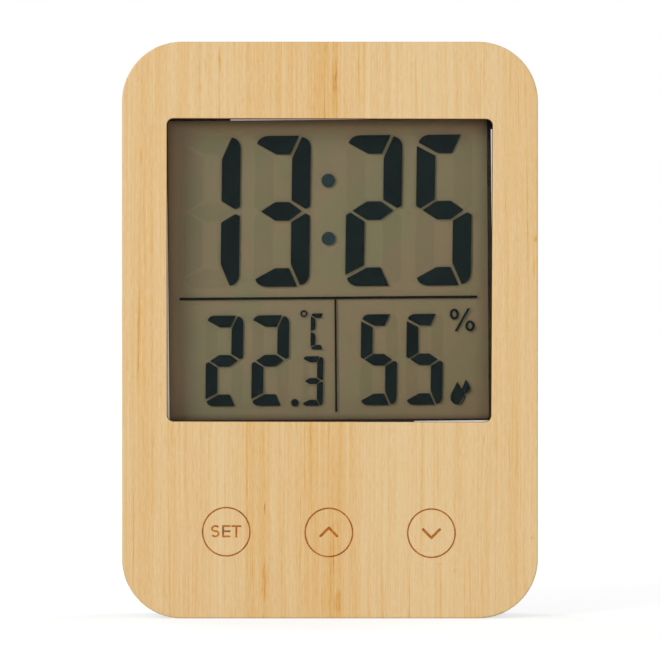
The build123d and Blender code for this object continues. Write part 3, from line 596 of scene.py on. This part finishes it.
def drop(tip, middle, radius):
    """A water drop: a round bottom drawn up to a tip."""
    shoulder = math.radians(25)
    left = math.pi - shoulder
    bottom = []
    for step in range(25):
        angle = left + (math.pi + 2 * shoulder) * step / 24
        bottom.append((middle[0] + radius * math.cos(angle), middle[1] + radius * math.sin(angle)))
    rise = middle[1] + 0.55 * (tip[1] - middle[1])
    right_side = bend(bottom[-1], (middle[0] + radius * 0.55, rise), tip)[1:]
    left_side = bend(tip, (middle[0] - radius * 0.55, rise), bottom[0])[1:-1]
    return bottom + right_side + left_side


def crescent(middle, radius):
    """The light that the drop leaves out, low on its right side."""
    start, end = math.radians(-88), math.radians(20)
    outer, inner = [], []
    for step in range(13):
        angle = start + (end - start) * step / 12
        thin = math.sin(math.pi * step / 12)
        outer.append((middle[0] + 0.86 * radius * math.cos(angle),
                      middle[1] + 0.86 * radius * math.sin(angle)))
        reach = (0.86 - 0.27 * thin) * radius
        inner.append((middle[0] + reach * math.cos(angle), middle[1] + reach * math.sin(angle)))
    return outer + inner[-2:0:-1]


def bar(u0, v0, u1, v1):
    """The corners of a plain straight bar."""
    return [(u0, v0), (u1, v0), (u1, v1), (u0, v1)]


def display_place(depth):
    """Turns millimetres in the display's plane, at that depth, into metres in the row frame."""
    middle = middle_of("window_lens")
    shift = Matrix.Translation(Vector((middle.x, depth, middle.z)) * MM)
    turn = Matrix.Rotation(-math.radians(DISPLAY_TURN), 4, "Y")
    stand_up = Matrix.Rotation(math.radians(90), 4, "X")
    return shift @ turn @ stand_up @ Matrix.Scale(MM, 4)


def figure(name, outlines, depth, material):
    """A thin closed piece of the display, cut to its outlines; one inside another is a hole."""
    curve = bpy.data.curves.new(name, "CURVE")
    curve.dimensions = "2D"
    curve.fill_mode = "BOTH"
    curve.extrude = FIGURE_THICKNESS / 2
    for outline in outlines:
        spline = curve.splines.new("POLY")
        spline.points.add(len(outline) - 1)
        for point, (u, v) in zip(spline.points, outline):
            point.co = (u, v, 0.0, 1.0)
        spline.use_cyclic_u = True
    pattern = bpy.data.objects.new(name + "_pattern", curve)
    mesh = bpy.data.meshes.new_from_object(pattern)
    bpy.data.objects.remove(pattern)
    shape = bmesh.new()
    shape.from_mesh(mesh)
    bmesh.ops.remove_doubles(shape, verts=shape.verts, dist=0.0005)
    bmesh.ops.recalc_face_normals(shape, faces=shape.faces)
    shape.to_mesh(mesh)
    shape.free()
    mesh.transform(display_place(depth))
    mesh.materials.clear()
    mesh.materials.append(material)
    piece = bpy.data.objects.new(name, mesh)
    bpy.context.scene.collection.objects.link(piece)
    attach(piece, "station")
    return piece


def display_figures():
    """The time, temperature and humidity figures, their dividers and the segments that are off.

    Each digit is given by its sign, the place of its right edge and its size."""
    groups = {
        "time_digits": (
            ("1", -21.66, TIME_SIZE), ("3", -4.51, TIME_SIZE),
            ("2", 17.89, TIME_SIZE), ("5", 35.0, TIME_SIZE),
        ),
        "temperature_digits": (
            ("2", -21.22, WARMTH_SIZE), ("2", -10.0, WARMTH_SIZE),
            ("3", -1.66, TENTH_SIZE), ("C", -0.9, UNIT_SIZE),
        ),
        "humidity_digits": (("5", 16.48, DAMPNESS_SIZE), ("5", 27.64, DAMPNESS_SIZE)),
    }
    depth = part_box("lcd_rear_glass")[1].y / MM - FIGURE_HEIGHT
    ink = figure_material("figure_ink", (1, 25, 25), (8, 33, 33))
    pale_ink = figure_material("figure_pale_ink", (40, 62, 63), (49, 70, 71))
    ghost = figure_material("figure_ghost", (78, 122, 62), (88, 126, 70), Alpha=0.03)
    line_ink = figure_material("figure_line", (8, 6, 2), (15, 13, 6))
    unlit = []
    for name, signs in groups.items():
        lit = []
        for sign, right, size in signs:
            shapes = digit(sign, right, **size)
            lit += shapes[0]
            if sign != "C":
                unlit += shapes[1]
        if name == "temperature_digits":
            lit.append(circle(*POINT, POINT_RADIUS))
            lit += [circle(*DEGREE, radius) for radius in DEGREE_RADII]
        figure(name, lit, depth, ink)
    figure("unlit_segments", unlit, depth, ghost)
    colon = [circle(COLON_U, height, COLON_RADIUS) for height in COLON_HEIGHTS]
    figure("colon_dots", colon, depth, pale_ink)
    percent = []
    for middle in PERCENT_RINGS:
        percent += [circle(*middle, 1.14, 1.18), circle(*middle, 0.48, 1.6)]
    percent.append(PERCENT_SLASH)
    figure("percent_sign", percent, depth, ink)
    drops = []
    for size in DROPS:
        drops += [drop(**size), crescent(size["middle"], size["radius"])]
    figure("humidity_drops", drops, depth, ink)
    left, right = DIVIDER_ENDS
    upright_left, upright_right = UPRIGHT_SIDES
    lines = [
        bar(left, DIVIDER_V - DIVIDER_HALF, right, DIVIDER_V + DIVIDER_HALF),
        bar(upright_left, UPRIGHT_FOOT, upright_right, DIVIDER_V - 0.38),
    ]
    figure("display_dividers", lines, depth, line_ink)


def floor():
    """A plain pale floor that the object stands on."""
    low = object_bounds()[0]
    half = FLOOR_SIZE / 2 * MM
    corners = [(-half, -half), (half, -half), (half, half), (-half, half)]
    mesh = bpy.data.meshes.new("floor")
    level = low.z - FLOOR_DROP * MM
    mesh.from_pydata([(x, y, level) for x, y in corners], [], [(0, 1, 2, 3)])
    paint = Paint("floor", Specular_IOR_Level=0.0)
    cloud = paint.noise((400.0, 400.0, 400.0))
    shade = paint.blend(cloud, tint(170, 170, 170), tint(174, 174, 174))
    paint.shader.inputs["Emission Color"].default_value = (1.0, 1.0, 1.0, 1.0)
    reach = paint.vector("LENGTH", paint.place)
    glow = paint.step(reach, GLOW_START, GLOW_END, GLOW_NEAR, GLOW_FAR)
    seen = paint.node("LightPath").outputs["Is Camera Ray"]
    strength = paint.node("MapRange", seen, 0.0, 1.0, FLOOR_LIGHT, glow).outputs[0]
    paint.put(paint.shader.inputs["Emission Strength"], strength)
    mesh.materials.append(paint.finish(shade, 0.9))
    piece = bpy.data.objects.new("floor", mesh)
    bpy.context.scene.collection.objects.link(piece)
    piece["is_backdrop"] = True


def world():
    """White to the camera, and an even dimmer white as light."""
    made = bpy.data.worlds.new("studio")
    bpy.context.scene.world = made
    made.use_nodes = True
    tree = made.node_tree
    background = tree.nodes["Background"]
    background.inputs["Color"].default_value = (1.0, 1.0, 1.0, 1.0)
    seen = tree.nodes.new("ShaderNodeLightPath")
    strength = tree.nodes.new("ShaderNodeMapRange")
    strength.inputs["To Min"].default_value = WORLD_LIGHT
    strength.inputs["To Max"].default_value = 1.0
    tree.links.new(seen.outputs["Is Camera Ray"], strength.inputs["Value"])
    tree.links.new(strength.outputs[0], background.inputs["Strength"])


def softbox(name, direction, distance, size, power):
    """A square soft light that looks at the middle of the object."""
    low, high = cad_box
    target = (low + high) / 2
    data = bpy.data.lights.new(name, "AREA")
    data.size = size * MM
    data.energy = power
    lamp = bpy.data.objects.new(name, data)
    away = Vector(direction).normalized()
    lamp.location = target + away * distance * MM
    lamp.rotation_euler = away.to_track_quat("Z", "Y").to_euler()
    lamp.visible_camera = False
    bpy.context.scene.collection.objects.link(lamp)


def camera():
    """Straight on, level with the middle of the object."""
    low, high = cad_box
    data = bpy.data.cameras.new("camera")
    data.sensor_width = SENSOR_WIDTH
    data.lens = SENSOR_WIDTH * CAMERA_DISTANCE / VIEW_WIDTH
    made = bpy.data.objects.new("camera", data)
    made.location = (0.0, low.y - CAMERA_DISTANCE * MM, (low.z + high.z) / 2)
    made.rotation_euler = (math.radians(90), 0.0, 0.0)
    bpy.context.scene.collection.objects.link(made)
    bpy.context.scene.camera = made


paint_frame()
display_figures()
floor()
world()
softbox("key_light", (-0.60, -0.74, 0.38), distance=3000.0, size=1400.0, power=46.5)
softbox("fill_light", (0.35, -1.0, 0.12), distance=2500.0, size=700.0, power=10.5)
softbox("back_light_left", (-0.7, 0.8, 0.6), distance=1700.0, size=900.0, power=9.5)
softbox("back_light_right", (0.9, 0.5, 0.7), distance=1700.0, size=900.0, power=8.0)
camera()
bpy.context.scene.view_settings.view_transform = "Standard"
bpy.context.scene.cycles.transparent_max_bounces = CLEAR_LAYERS
